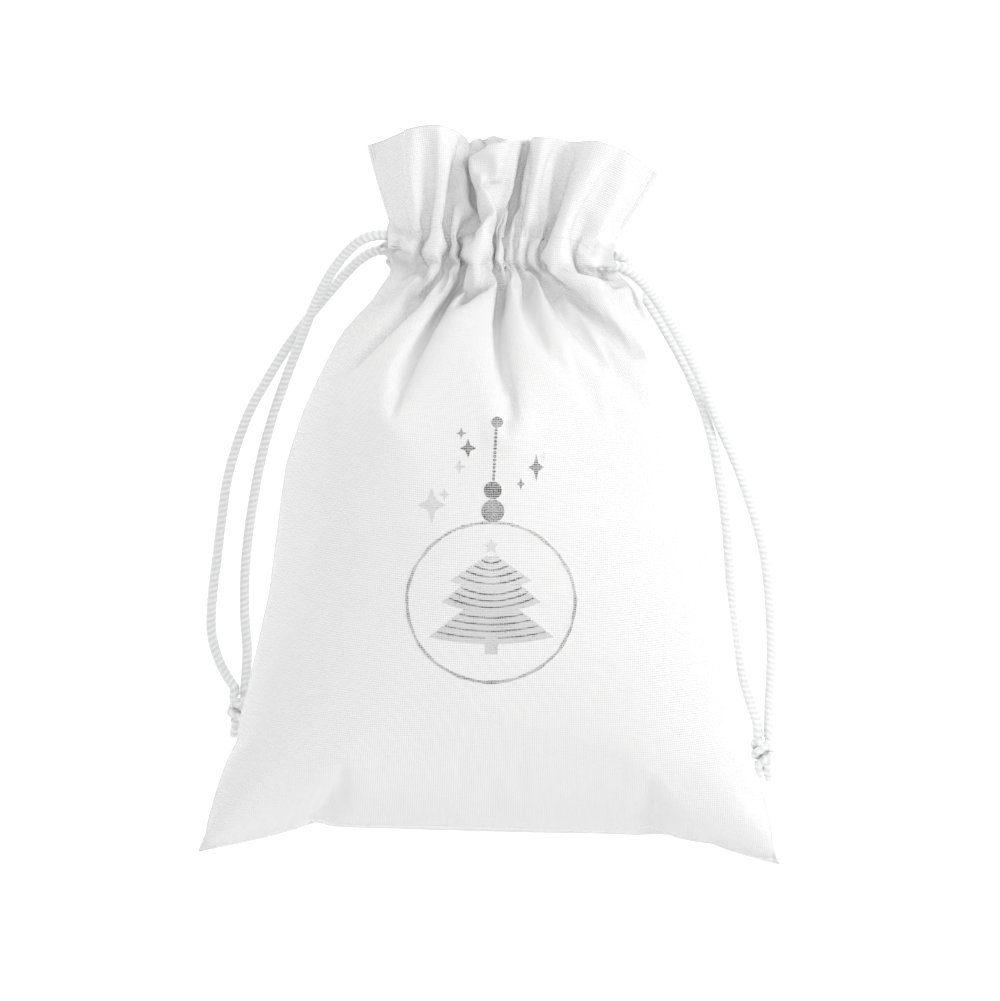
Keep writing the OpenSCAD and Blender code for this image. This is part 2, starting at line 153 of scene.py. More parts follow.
# Print, near the CAD model's films
BAUBLE_X, BAUBLE_Y, BAUBLE_R, BAUBLE_LINE = 0.45, -26.3, 21.2, 0.75
BAUBLE_SQUASH = 0.955                                   # its height as a share of its width
CAPS = [(0.9, -3.6, 2.85), (0.9, 1.5, 2.2)]             # x, y, radius
CHAIN_FOOT, CHAIN_TOP, BEADS, BEAD_R = (1.1, 4.3), (1.7, 16.4), 14, 0.4
KNOB = (2.0, 18.3, 1.4)
TREE_X, TREE_FOOT_Y, TRUNK_HALF = 0.55, -39.1, 1.6
# Tiers of the tree: bottom and top in the middle, half width there, and how far the bars sag
TIERS = [(-34.8, -27.4, 15.5, 6.2, 1.7), (-26.1, -21.0, 12.2, 6.2, 2.5), (-20.8, -14.2, 10.1, 0.7, 2.0)]
BAR_PITCH, BAR_GAP = 1.35, 0.24
STAR = (0.6, -12.3, 1.9)
STAR_WAIST = 0.45
# Sparkles: x, y, reach, share of the reach that it spreads across; bright ones, then worn ones
SPARKLES = [(-14.1, -2.1, 4.4, 0.8), (-11, 0.5, 1.5, 0.9), (-7.3, 7.3, 1.8, 0.9), (13.5, 10, 1.1, 0.8)]
WORN_SPARKLES = [(-5.2, 11.9, 2.4, 0.85), (-6.9, 15.6, 1.4, 0.9), (11.6, 7.2, 3.4, 0.55),
                 (7.8, 3.1, 1.5, 0.7)]
SPARKLE_WAIST = 0.4


# --- Small helpers ---
def ease(t):
    """Smooth step from 0 to 1."""
    t = np.clip(t, 0.0, 1.0)
    return t * t * (3 - 2 * t)


def unit(v):
    v = np.asarray(v, float)
    return v / np.maximum(np.linalg.norm(v, axis=-1, keepdims=True), 1e-9)


def from_neck(x, y, z):
    """A point of the neck's frame, whose x runs along the casing, as a point of the pouch."""
    c, s = math.cos(NECK_TILT), math.sin(NECK_TILT)
    return np.stack([NECK[0] + x * c + y * s, NECK[1] - x * s + y * c, NECK[2] + z + 0 * x], -1)


def between(a, b, c, d, t):
    """The place at the share t of the way from b to c, on a smooth curve through a, b, c and d."""
    return 0.5 * (2 * b + (c - a) * t + (2 * a - 5 * b + 4 * c - d) * t * t
                  + (3 * b - a - 3 * c + d) * t ** 3)


SPLINE_STEPS, SPLINE_ROUNDS = 24, 8    # points between two of a route's points, and passes of smoothing


def spline(points, step):
    """A smooth line through points, with a point about every step, and the length up to each point."""
    p = np.asarray(points, float)
    p = np.vstack([2 * p[0] - p[1], p, 2 * p[-1] - p[-2]])
    t = np.linspace(0, 1, SPLINE_STEPS, endpoint=False)[:, None]
    pieces = [between(a, b, c, d, t) for a, b, c, d in zip(p[:-3], p[1:-2], p[2:-1], p[3:])]
    line = np.vstack(pieces + [p[-2:-1]])
    for _ in range(SPLINE_ROUNDS):
        line[1:-1] = 0.25 * line[:-2] + 0.5 * line[1:-1] + 0.25 * line[2:]
    run = np.concatenate([[0], np.cumsum(np.linalg.norm(np.diff(line, axis=0), axis=1))])
    s = np.linspace(0, run[-1], max(3, int(round(run[-1] / step)) + 1))
    return np.stack([np.interp(s, run, line[:, k]) for k in range(line.shape[1])], 1), s


OFF_AXIS = (0.13, 0.2, 1.0)            # a direction that no cord or seam starts in


def across_line(line):
    """Two directions across a line at each of its points, which turn as little as they can."""
    tangents = unit(np.gradient(line, axis=0))
    side = unit(np.cross(tangents[0], OFF_AXIS))
    sides = []
    for t in tangents:
        side = unit(side - np.dot(side, t) * t)
        sides.append(side)
    sides = np.array(sides)
    return sides, np.cross(tangents, sides)


def tube_faces(rings, sides, base=0):
    """The faces of a closed tube whose points are numbered ring by ring from base."""
    faces = []
    for i in range(rings - 1):
        low = base + i * sides
        for k in range(sides):
            m = (k + 1) % sides
            faces.append((low + k, low + m, low + sides + m, low + sides + k))
    last = base + (rings - 1) * sides
    faces.append(tuple(range(base + sides - 1, base - 1, -1)))
    faces.append(tuple(range(last, last + sides)))
    return faces


def film_faces(ids, n):
    """The faces of a closed thin piece: a grid of point numbers, and its twin n numbers further on."""
    top = np.stack([ids[:-1, :-1], ids[:-1, 1:], ids[1:, 1:], ids[1:, :-1]], -1).reshape(-1, 4)
    faces = [tuple(f) for f in top] + [tuple(f[::-1] + n) for f in top]
    rim = np.concatenate([ids[0, :], ids[1:, -1], ids[-1, -2::-1], ids[-2:0:-1, 0]])
    return faces + [(a, a + n, b + n, b) for a, b in zip(rim, np.roll(rim, -1))]


def make_mesh(name, verts, faces, smooth=True):
    """A mesh object from points in millimetres."""
    mesh = bpy.data.meshes.new(name)
    mesh.from_pydata([tuple(v) for v in np.asarray(verts) * MM], [], [tuple(f) for f in faces])
    mesh.polygons.foreach_set("use_smooth", [smooth] * len(mesh.polygons))
    mesh.update()
    obj = bpy.data.objects.new(name, mesh)
    bpy.context.scene.collection.objects.link(obj)
    return obj


def give(obj, name, values):
    """Stores a vector per point, for the materials to read."""
    layer = obj.data.attributes.new(name, "FLOAT_VECTOR", "POINT")
    layer.data.foreach_set("vector", np.asarray(values, np.float32).ravel())


def stand_in(obj, body, node):
    """Puts a piece on a body, in place of a CAD node, which it hides."""
    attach(obj, body)
    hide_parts(node)


# --- Camera ---
CAMERA_AT = (0.00267, -0.001, 1.2)     # metres; it looks straight down
LENS, SENSOR = 167, 36
camera = bpy.data.objects.new("camera", bpy.data.cameras.new("camera"))
bpy.context.scene.collection.objects.link(camera)
camera.location = CAMERA_AT
camera.data.lens = LENS
camera.data.sensor_width = SENSOR
camera.data.clip_start = 0.01
bpy.context.scene.camera = camera


# --- Cords ---
SIDES = 20
BRAID_STEP = 0.25      # distance between rings of points
BRAID_PITCH = 1.5      # length of one braided chevron
BRAID_DEPTH = 0.26     # height of the braid's relief
CHEVRON, GROOVE = 0.6, 0.4             # shares of the relief: chevrons, and grooves between the four sides
GROOVE_FROM = 0.6      # where around the cord a groove starts
TWIST = 0.7            # each further length of a piece is turned this much about its line
PATH_STEP = 2.0        # distance between the points of a strand's path line


def sweep(line, run, turn, radius):
    """Points and faces of a braided cord along line, and each point's place: along, around and relief."""
    sides, ups = across_line(line)
    phi = np.arange(SIDES) * 2 * np.pi / SIDES
    s = run[:, None]
    saw = np.abs(((phi[None, :] + turn) * 2 / np.pi) % 2 - 1)
    wave = np.cos(2 * np.pi * (s / BRAID_PITCH + 0.5 * saw))
    split = np.clip(np.cos(4 * (phi[None, :] + turn)), GROOVE_FROM, 1)
    relief = BRAID_DEPTH * (CHEVRON * wave - GROOVE * split * 2 + GROOVE)
    r = radius + relief * 0.5
    points = (line[:, None, :] + (r * np.cos(phi))[:, :, None] * sides[:, None, :]
              + (r * np.sin(phi))[:, :, None] * ups[:, None, :])
    around = phi[None, :] * CORD_D / 2
    place = np.stack([s + 0 * phi, around + 0 * s, relief / BRAID_DEPTH + 0 * s], -1)
    return points.reshape(-1, 3), tube_faces(len(line), SIDES), place.reshape(-1, 3)


def cord_piece(node, lines, radius=CORD_D / 2):
    """One piece of one or more braided lengths, named after its CAD node; lines are lists of points."""
    verts, faces, places = [], [], []
    for k, points in enumerate(lines):
        line, run = spline(points, BRAID_STEP)
        v, f, p = sweep(line, run, TWIST * k, radius)
        base = sum(len(x) for x in verts)
        faces += [tuple(i + base for i in face) for face in f]
        verts.append(v)
        places.append(p)
    obj = make_mesh(node + "_cord", np.vstack(verts), faces)
    give(obj, "cord_mm", np.vstack(places))
    return obj


def overhand(at, flip):
    """The lines of a pulled-tight doubled knot below the point at."""
    over = [(-1.4, 0.5, 0), (-1.6, -0.9, 0.9), (-0.5, -2.2, 1.9), (1.2, -3.4, 1.9), (2.2, -4.3, 0.4),
            (1.5, -4.7, -1.3), (-0.5, -4.6, -1.7), (-2.0, -4.3, -0.8), (-2.1, -4.7, 0.9),
            (-0.8, -5.4, 1.5), (0.4, -6.2, 1.0), (0.9, -7, 0.3)]
    through = [(1.4, 0.5, 0), (1.2, -1.2, 0.2), (0.3, -3, -0.2), (-0.7, -5, -0.3), (-1.1, -7, 0)]
    loop = [(0.6, -2.9, -1.6), (2.0, -2.4, -1.2), (2.2, -1.4, 0.3), (1.3, -1.3, 1.5), (-0.1, -2.4, 0.9),
            (-1.8, -2.9, -0.5), (-1.2, -3.4, -1.5)]
    return [[(at[0] + flip * x, at[1] + y, at[2] + z) for x, y, z in line]
            for line in (over, through, loop)]


def tail_line(at, side, length):
    """The cut end of a strand below a knot."""
    foot = (at[0] + side * 1.15, at[1] - KNOT_L, at[2])
    return [(foot[0], foot[1] + 0.8, foot[2] + 0.1), (foot[0], foot[1] - 0.35 * length, foot[2] - 0.1),
            (foot[0] + side * 0.3, foot[1] - 0.7 * length, foot[2] - 0.6),
            (foot[0] + side * 0.5, foot[1] - length, foot[2] - 1.2)]


def neck_line(points):
    return [tuple(from_neck(np.float64(x), y, z)) for x, y, z in points]


def knot_and_tails(side, sign):
    """The knot that joins a pair of strands, and the two cut ends below it."""
    at = KNOTS[side]
    pieces = [cord_piece(side + "_knot", overhand(at, -sign), KNOT_R)]
    stand_in(pieces[0], side + "_swing", side + "_knot")
    for half, hand in HANDS.items():
        node = f"{side}_{half}_tail"
        tail = cord_piece(node, [tail_line(at, hand, TAILS[f"{side}_{half}"])], TAIL_R)
        stand_in(tail, side + "_swing", node)
        pieces.append(tail)
    return pieces


def strand(side, half):
    """The free length of cord from the casing to the knot."""
    route = ROUTES[f"{side}_{half}"]
    piece = cord_piece(f"{side}_{half}_strand", [route])
    line, run = spline(route, PATH_STEP)
    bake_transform(piece)
    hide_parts(f"{side}_{half}_strand")


def lead(side, sign, half, hand):
    """The straight length inside the casing that can be drawn out."""
    near, far = sign * NECK_HALF, sign * (NECK_HALF - PULL)
    points = [(near + (far - near) * k / 6, -sign * hand * LANE_Y, hand * LANE_Z) for k in range(7)]
    piece = cord_piece(f"{side}_{half}_lead", [neck_line(points)])
    stand_in(piece, side + "_pull", f"{side}_{half}_lead")


def hidden_run(side, sign):
    """The length that stays in the casing: out along the front, round the far end and back."""
    turn_r = math.hypot(LANE_Y, LANE_Z)
    turn_x = NECK_HALF - RUN_END - CORD_D / 2 - turn_r
    reach = NECK_HALF - PULL
    out = [(-reach + (turn_x + reach) * k / 8, LANE_Y, LANE_Z) for k in range(8)]
    bend = [(turn_x + turn_r * math.sin(a), LANE_Y * math.cos(a), LANE_Z * math.cos(a))
            for a in np.radians(np.arange(0, 181, 15))]
    back = [(x, -y, -z) for x, y, z in out[::-1]]
    points = [(-sign * x, -sign * y, z) for x, y, z in out + bend + back]
    piece = cord_piece(side + "_cord_run", [neck_line(points)])
    stand_in(piece, "root", side + "_cord_run")


for side, sign in (("left", -1), ("right", 1)):
    on_cord = knot_and_tails(side, sign)
    for half, hand in HANDS.items():
        strand(side, half)
        lead(side, sign, half, hand)
    hidden_run(side, sign)


# --- Cloth: two panels sewn together, filled, laid down and drawn shut by simulation ---
GRID = 2.5
FRAMES = 60
DRAWN_AT = 0.55        # share of the frames after which the cords are drawn and the table is up
OPEN_LOW, OPEN_HIGH = STITCH_LOW - 6, STITCH_HIGH + 5.5   # side slits that the cords leave by
COLS = int(round(FLAT_W / GRID))
ROWS = int(round(FLAT_L / GRID))
MID = (STITCH_LOW + STITCH_HIGH) / 2
SIM = 0.01             # millimetres to the simulation's units
PLEAT_ARCH = 0.6       # how round a pleat is, from 0, a sharp arch, to 1, a tight loop
EDGE_PUFF = 0.15       # how much lower the pleats are along the stitching
LIP_OUT, LIP_IN, LIP_UP = 1.9, 1.2, 0.4   # the casing's ends, measured from the neck's
HELD_HALF = 2.4        # half of the band of the casing that the cords hold
LIP_HALF, LIP_REACH = 4.6, 6.0   # the casing's ends, which the cords hold open
LOOSE_PIN, MOUTH_PIN = 0.15, 0.4   # how firmly the ruffle is led to its place, and more at its edge
START_GAP, START_Z = 1.5, 2.0    # half the space between the flat panels, and their height
DROP = 20.0            # the table starts this far down and comes up as the pouch fills
TABLE_HALF = 300
TABLE_GRIP = 30        # friction between the table and the cloth
PRESS_END, PRESS_FADE = STITCH_LOW - 6, 12   # the filling's pressure dies away below the casing
PRESS_LOW, PRESS_FULL = 0.3, 60  # share of the pressure at the bottom seam, and how far up it is full
CLOTH = {"quality": 6, "mass": 0.3, "tension_stiffness": 30, "compression_stiffness": 30,
         "shear_stiffness": 12, "bending_stiffness": 2, "bending_stiffness_max": 8,
         "vertex_group_bending": "stiff", "tension_damping": 15, "compression_damping": 15,
         "shear_damping": 10, "bending_damping": 1, "vertex_group_mass": "pins", "use_pressure": True,
         "uniform_pressure_force": 14, "vertex_group_pressure": "press", "air_damping": 4}
TOUCH = {"distance_min": 0.01, "use_self_collision": True, "self_distance_min": 0.008,
         "self_friction": 5}


def pleat_curve(width, cloth):
    """One pleat of that width that takes up that much cloth: places across and heights."""
    t = np.linspace(0, 1, 61)
    x = width * (t - PLEAT_ARCH * np.sin(2 * np.pi * t) / (2 * np.pi))
    low, high = 0.0, cloth
    for _ in range(30):
        h = (low + high) / 2
        z = h * np.sin(np.pi * t)
        run = np.concatenate([[0], np.cumsum(np.hypot(np.diff(x), np.diff(z)))])
        low, high = (h, high) if run[-1] < cloth else (low, h)
    return x, z, run


def casing_profile(pleats):
    """The gathered casing as a function of the cloth from its left end: x and height."""
    widths = np.array([p[0] for p in pleats])
    lip = (FLAT_W - sum(p[1] for p in pleats)) / 2
    xs, zs, us = [-NECK_HALF - LIP_OUT], [CASING_Z + LIP_UP], [0.0]
    x0, u0 = -NECK_HALF + LIP_IN, lip
    scale = 2 * (NECK_HALF - LIP_IN) / widths.sum()
    for width, cloth in pleats:
        x, z, run = pleat_curve(width * scale, cloth)
        xs += list(x0 + x)
        zs += list(CASING_Z + z)
        us += list(u0 + run)
        x0 += width * scale
        u0 += cloth
    us, xs, zs = us + [FLAT_W], xs + [NECK_HALF + LIP_OUT], zs + [CASING_Z + LIP_UP]
    return np.array(us), np.array(xs), np.array(zs)


def mouth_profile(points):
    """The mouth's edge on a smooth line: cloth from the left corner, and the point there."""
    line, _ = spline(np.array(points), 0.5)
    return line[:, 0], line[:, 1:]


PROFILES = {"f": (casing_profile(FRONT_PLEATS), mouth_profile(FRONT_MOUTH)),
            "b": (casing_profile(BACK_PLEATS), mouth_profile(BACK_MOUTH))}


def drawn_shut(key, across, up):
    """Where a point of the casing or the ruffle goes when the cords are drawn."""
    hand = 1 if key == "f" else -1
    (cu, cx, cz), (mu, line) = PROFILES[key]
    x = np.interp(across, cu, cx)
    z = np.interp(across, cu, cz)
    y = min(up, STITCH_HIGH) - MID
    puff = 1 - EDGE_PUFF * abs(y) / (STITCH_HIGH - MID)
    x += y * np.interp(x, LEAN_AT, LEAN)
    casing = from_neck(np.float64(x), y, hand * (CASING_Z + (z - CASING_Z) * puff))
    if up <= STITCH_HIGH:
        return casing
    v = (up - STITCH_HIGH) / (FLAT_L - STITCH_HIGH)
    place = [np.interp(across, mu, line[:, k]) for k in range(3)]
    edge = NECK + np.array([place[0], place[2], place[1]])
    w = 0.5 * v + 0.5 * float(ease(v))
    return casing * (1 - w) + edge * w


def build_flat():
    """The two flat panels as one mesh: points, faces, flat places and drawn-shut places."""
    index, verts, flat, target = {}, [], [], []

    def point(key, i, j):
        across, up = i * FLAT_W / COLS, j * FLAT_L / ROWS
        slit = OPEN_LOW < up < OPEN_HIGH
        shared = j == 0 or (i in (0, COLS) and not slit)
        name = ("s", i, j) if shared else (key, i, j)
        if name not in index:
            index[name] = len(verts)
            hand = 1 if key == "f" else -1
            z = 0.0 if shared else START_GAP * hand
            verts.append((across - FLAT_W / 2 + NECK[0] / 2, up + NECK[1] - MID, z + START_Z))
            flat.append((across, up))
            if up >= STITCH_LOW - 0.01:
                if shared:
                    target.append((drawn_shut("f", across, up) + drawn_shut("b", across, up)) / 2)
                else:
                    target.append(drawn_shut(key, across, up))
            else:
                target.append(None)
        return index[name]

    faces, grids = [], {}
    for key in "fb":
        grid = [[point(key, i, j) for i in range(COLS + 1)] for j in range(ROWS + 1)]
        grids[key] = np.array(grid)
        for j in range(ROWS):
            for i in range(COLS):
                quad = [grid[j][i], grid[j][i + 1], grid[j + 1][i + 1], grid[j + 1][i]]
                faces.append(quad if key == "f" else quad[::-1])
    return np.array(verts), faces, flat, target, grids


def lead_points(cloth, flat, target):
    """How firmly each point is led to its drawn-shut place, pressed out and kept stiff."""
    pins, press, stiff = [cloth.vertex_groups.new(name=name) for name in ("pins", "press", "stiff")]
    cloth.shape_key_add(name="Basis")
    shut = cloth.shape_key_add(name="shut")
    for k, (across, up) in enumerate(flat):
        if target[k] is not None:
            shut.data[k].co = target[k] * SIM
            by_the_slit = min(across, FLAT_W - across) < LIP_REACH
            tight = abs(up - MID) < (LIP_HALF if by_the_slit else HELD_HALF)
            ruffle = float(ease((up - STITCH_HIGH) / (FLAT_L - STITCH_HIGH)))
            pins.add([k], 1.0 if tight else LOOSE_PIN + MOUTH_PIN * ruffle, "REPLACE")
        from_foot = PRESS_LOW + (1 - PRESS_LOW) * ease(up / PRESS_FULL)
        fill = float(ease((PRESS_END - up) / PRESS_FADE) * from_foot)
        press.add([k], fill, "REPLACE")
        stiff.add([k], 1.0 if up >= STITCH_LOW else 0.0, "REPLACE")
    return shut


def rising_table(drawn):
    """The table that the filling pouch comes to lie on, up at the frame drawn."""
    h = TABLE_HALF
    table = make_mesh("sim_table", [(-h, -h, 0), (h, -h, 0), (h, h, 0), (-h, h, 0)], [(0, 1, 2, 3)],
                      smooth=False)
    table.scale = (SIM / MM,) * 3
    table.location.z = -DROP * SIM
    table.keyframe_insert("location", frame=1)
    table.location.z = 0
    table.keyframe_insert("location", frame=drawn)
    table.modifiers.new("table", "COLLISION")
    table.collision.thickness_outer = TOUCH["distance_min"]
    table.collision.cloth_friction = TABLE_GRIP
    return table


def simulate():
    """Fills the flat pouch with pressure while the casing is drawn shut. Returns two grids of points."""
    verts, faces, flat, target, grids = build_flat()
    scene = bpy.context.scene
    mesh = bpy.data.meshes.new("sim_cloth")
    mesh.from_pydata([tuple(v) for v in verts * SIM], [], faces)
    cloth = bpy.data.objects.new("sim_cloth", mesh)
    scene.collection.objects.link(cloth)
    shut = lead_points(cloth, flat, target)
    scene.frame_start, scene.frame_end = 1, FRAMES
    drawn = int(FRAMES * DRAWN_AT)
    shut.value = 0
    shut.keyframe_insert("value", frame=1)
    shut.value = 1
    shut.keyframe_insert("value", frame=drawn)
    table = rising_table(drawn)
    modifier = cloth.modifiers.new("cloth", "CLOTH")
    for name, value in CLOTH.items():
        setattr(modifier.settings, name, value)
    for name, value in TOUCH.items():
        setattr(modifier.collision_settings, name, value)
    modifier.point_cache.frame_start, modifier.point_cache.frame_end = 1, FRAMES
    for k in range(1, FRAMES + 1):
        scene.frame_set(k)
    done = cloth.evaluated_get(bpy.context.evaluated_depsgraph_get()).to_mesh()
    co = np.array([v.co for v in done.vertices]) / SIM
    bpy.data.objects.remove(cloth)
    bpy.data.objects.remove(table)
    scene.frame_set(1)
    return {key: co[grids[key]] for key in grids}


SLICE, TOP_SLICE, TOP_FROM = 4, 2, 52   # half the depth of a measured slice, and the thin ones near the neck
SHIFT_TOP, SHIFT_FADE = 20, 110  # the corners' shift fades out over this length, up to this y
FIT_TOP, FIT_FADE = 58, 14       # and the fit to the stations
SLANT_GAP, SLANT_FADE = 1, 7     # on the left the fit ends this close to the neck, over this length
LEANS = [(-70, 50, 2.2), (30, 30, 0.5)]   # the pouch bends to the right: from y, over a length, by so much


def fit(panels):
    """Eases the filled cloth to the outline and the height of the CAD model's stations."""
    rows = np.array(STATIONS)
    ys = rows[:, 0]
    corners = panels["f"][0, 0].copy(), panels["f"][0, -1].copy()
    lift = [CORNER_Y[k] - corners[k][1] for k in (0, 1)]
    for key, grid in panels.items():
        share = (grid[..., 0] - corners[0][0]) / (corners[1][0] - corners[0][0])
        fade = ease((SHIFT_TOP - grid[..., 1]) / SHIFT_FADE)
        grid[..., 1] += fade * (lift[0] * (1 - share) + lift[1] * share)
    every = np.vstack([panels[k].reshape(-1, 3) for k in "fb"])
    slices = [every[np.abs(every[:, 1] - y) < (SLICE if y < TOP_FROM else TOP_SLICE)] for y in ys]
    left, right = [near[:, 0].min() for near in slices], [near[:, 0].max() for near in slices]
    top = [near[:, 2].max() for near in slices]
    lean = sum(by * ease((ys - start) / length) for start, length, by in LEANS)
    out = {}
    for key, grid in panels.items():
        p = grid.reshape(-1, 3).copy()
        y = p[:, 1]
        fade = ease((FIT_TOP - y) / FIT_FADE)
        a, b = np.interp(y, ys, left), np.interp(y, ys, right)
        share = (p[:, 0] - a) / (b - a)
        middle, half = np.interp(y, ys, lean), np.interp(y, ys, rows[:, 1])
        # On the left it is drawn in right up to the neck, which lies aslant
        below = NECK[1] - (p[:, 0] - NECK[0]) * math.tan(NECK_TILT) - y
        pull = (1 - ease(share)) * ease((below - SLANT_GAP) / SLANT_FADE) + ease(share) * fade
        p[:, 0] += pull * (middle - half + 2 * half * share - p[:, 0])
        rise = np.interp(y, ys, rows[:, 2]) / np.interp(y, ys, top)
        p[:, 2] *= 1 + fade * (rise - 1)
        out[key] = p.reshape(grid.shape)
    return out


def finer(grid, times):
    """A grid of points with times as many steps each way, on smooth curves through the old ones."""
    for axis in (0, 1):
        g = np.moveaxis(grid, axis, 0)
        g = np.concatenate([2 * g[:1] - g[1:2], g, 2 * g[-1:] - g[-2:-1]])
        steps = [between(g[:-3], g[1:-2], g[2:-1], g[3:], t) for t in np.arange(times) / times]
        fine = np.stack(steps, 1).reshape(-1, *g.shape[1:])
        fine = np.concatenate([fine, g[-2:-1]])
        grid = np.moveaxis(fine, 0, axis)
    return grid


def normals(grid):
    return unit(np.cross(np.gradient(grid, axis=1), np.gradient(grid, axis=0)))


RELAXING = 0.4         # how far a point goes towards the middle of its neighbours


def relax(grid, times):
    """Takes the smallest crumples out of the cloth; the outer edges keep their line."""
    for _ in range(times):
        flat = grid.copy()
        flat[1:-1, 1:-1] = (grid[:-2, 1:-1] + grid[2:, 1:-1] + grid[1:-1, :-2] + grid[1:-1, 2:]) / 4
        flat[1:-1, [0, -1]] = (grid[:-2, [0, -1]] + grid[2:, [0, -1]]) / 2
        flat[[0, -1], 1:-1] = (grid[[0, -1], :-2] + grid[[0, -1], 2:]) / 2
        grid = grid + RELAXING * (flat - grid)
    return grid


FINER = 4
panels = {key: finer(relax(grid, 1), FINER) for key, grid in fit(simulate()).items()}
NORMALS = {key: normals(grid) * (1 if key == "f" else -1) for key, grid in panels.items()}
FLAT = np.stack(np.meshgrid(np.linspace(0, FLAT_W, COLS * FINER + 1),
                            np.linspace(0, FLAT_L, ROWS * FINER + 1)), -1)


def shell(name, outer, inner, flat):
    """A closed thin piece between two grids of points; outer faces out."""
    r, c = outer.shape[:2]
    n = r * c
    faces = film_faces(np.arange(n).reshape(r, c), n)
    obj = make_mesh(name, np.vstack([outer.reshape(-1, 3), inner.reshape(-1, 3)]), faces)
    place = np.concatenate([flat, np.zeros((r, c, 1))], -1).reshape(-1, 3)
    give(obj, "cloth_mm", np.vstack([place, place]))
    return obj


FIRST = int(round((STITCH_LOW - 1) / FLAT_L * ROWS * FINER))   # the facing's lowest row of points
PIPE_EDGE = 2.2        # the facing sinks in under the cord over this much cloth
CORD_ROOM = 0.4        # from the cord to the facing
DIP_MORE = 0.15        # the facing dips by this share of a pleat's height below the cord
WEAVE_SHIFT, FACING_SHIFT = 0.31, 0.2   # the weaves of two layers don't fall on each other


def make_panel(key, side, flat):
    """A panel as a shell inwards from the simulated cloth."""
    outer = panels[key]
    inner = outer - NORMALS[key] * CLOTH_T
    if key == "b":
        outer, inner = inner, outer
    panel = shell(side + "_panel_cloth", outer, inner, flat)
    stand_in(panel, "root", side + "_panel")
    return panel


def make_facing(key, side, flat):
    """The turned-in top of the panel, sewn down along both rows of stitching, with the cord behind it."""
    hand, out = HANDS[side], NORMALS[key][FIRST:]
    up = FLAT[FIRST:, :, 1]
    edge = np.minimum(FLAT[FIRST:, :, 0], FLAT_W - FLAT[FIRST:, :, 0])
    at_end = ease((END_REACH - edge) / END_REACH)
    top_row = STITCH_HIGH + at_end * (OPEN_HIGH - STITCH_HIGH)
    sunk = ease((up - STITCH_LOW) / PIPE_EDGE) * ease((top_row - up) / PIPE_EDGE)
    skin = panels[key][FIRST:] - out * (CLOTH_T + FACING_GAP)
    below = skin.copy()
    rise = hand * (skin[:, :, 2] - NECK[2])
    lane_foot = LANE_Z - CORD_D / 2 - CORD_ROOM
    under = np.minimum(rise, lane_foot - DIP_MORE * np.maximum(0, rise - CASING_Z)) * (1 - at_end)
    below[:, :, 2] = NECK[2] + hand * (rise * (1 - sunk) + under * sunk)
    way = -out * FACING_T
    a, b = (below, below + way) if key == "f" else (below + way, below)
    facing = shell(side + "_facing_cloth", a, b, flat[FIRST:] + FACING_SHIFT)
    stand_in(facing, "root", side + "_facing")
    return facing


PANELS = {}
for key, side in (("f", "front"), ("b", "back")):
    flat = FLAT + (0 if key == "f" else WEAVE_SHIFT)
    PANELS[side] = make_panel(key, side, flat)
    PANELS[side + "_facing"] = make_facing(key, side, flat)


def tube(name, lines, radius, sides=8):
    """A plain round tube along each line of points."""
    verts, faces = [], []
    turns = np.arange(sides) * 2 * np.pi / sides
    for line in lines:
        line = np.asarray(line, float)
        right, up = across_line(line)
        faces += tube_faces(len(line), sides, len(verts))
        for p, u, v in zip(line, right, up):
            verts += [p + radius * (math.cos(a) * u + math.sin(a) * v) for a in turns]
    return make_mesh(name, verts, faces)


# Seams: the sewn edge where the panels meet
def seam_line(rows, cols):
    """The line along which the edges of the two panels meet."""
    f, b = panels["f"][rows, cols], panels["b"][rows, cols]
    out = NORMALS["f"][rows, cols] + NORMALS["b"][rows, cols]
    return (f + b) / 2 - SEAM_SUNK * unit(out)


row_low = int(OPEN_LOW / FLAT_L * ROWS * FINER)
row_high = int(math.ceil(OPEN_HIGH / FLAT_L * ROWS * FINER)) + 1
last_col = COLS * FINER
below_slit, above_slit = slice(0, row_low), slice(row_high, None)
EDGES = {"left_side_seam": (below_slit, 0), "right_side_seam": (below_slit, last_col),
         "bottom_seam": (0, slice(0, last_col + 1)),
         "left_header_seam": (above_slit, 0), "right_header_seam": (above_slit, last_col)}
SEAMS = []
for name, (rows, cols) in EDGES.items():
    seam = tube(name + "_cloth", [seam_line(rows, cols)], SEAM_R)
    stand_in(seam, "root", name)
    SEAMS.append(seam)


# Stitching: short raised threads along both edges of the casing
def on_cloth(key, across, up, lift):
    """Points of the cloth's outer face at places of the flat panel."""
    fx = np.clip(np.asarray(across, float) / FLAT_W * COLS * FINER, 0, COLS * FINER - 1e-6)
    fy = np.clip(np.asarray(up, float) / FLAT_L * ROWS * FINER, 0, ROWS * FINER - 1e-6)
    i, j = fx.astype(int), fy.astype(int)
    u, v = (fx - i)[:, None], (fy - j)[:, None]
    g = panels[key] + NORMALS[key] * lift
    return ((g[j, i] * (1 - u) + g[j, i + 1] * u) * (1 - v)
            + (g[j + 1, i] * (1 - u) + g[j + 1, i + 1] * u) * v)


def stitch(key, start, up):
    """One stitch: a line that comes out of the cloth, runs over it and goes back in."""
    t = np.linspace(0, 1, 6)
    across, up = start + STITCH_LEN * t, np.full(t.shape, up)
    bow = (np.sin(np.pi * t) ** 0.5)[:, None]
    return on_cloth(key, across, up, 0.0) * (1 - bow) + on_cloth(key, across, up, STITCH_PROUD) * bow


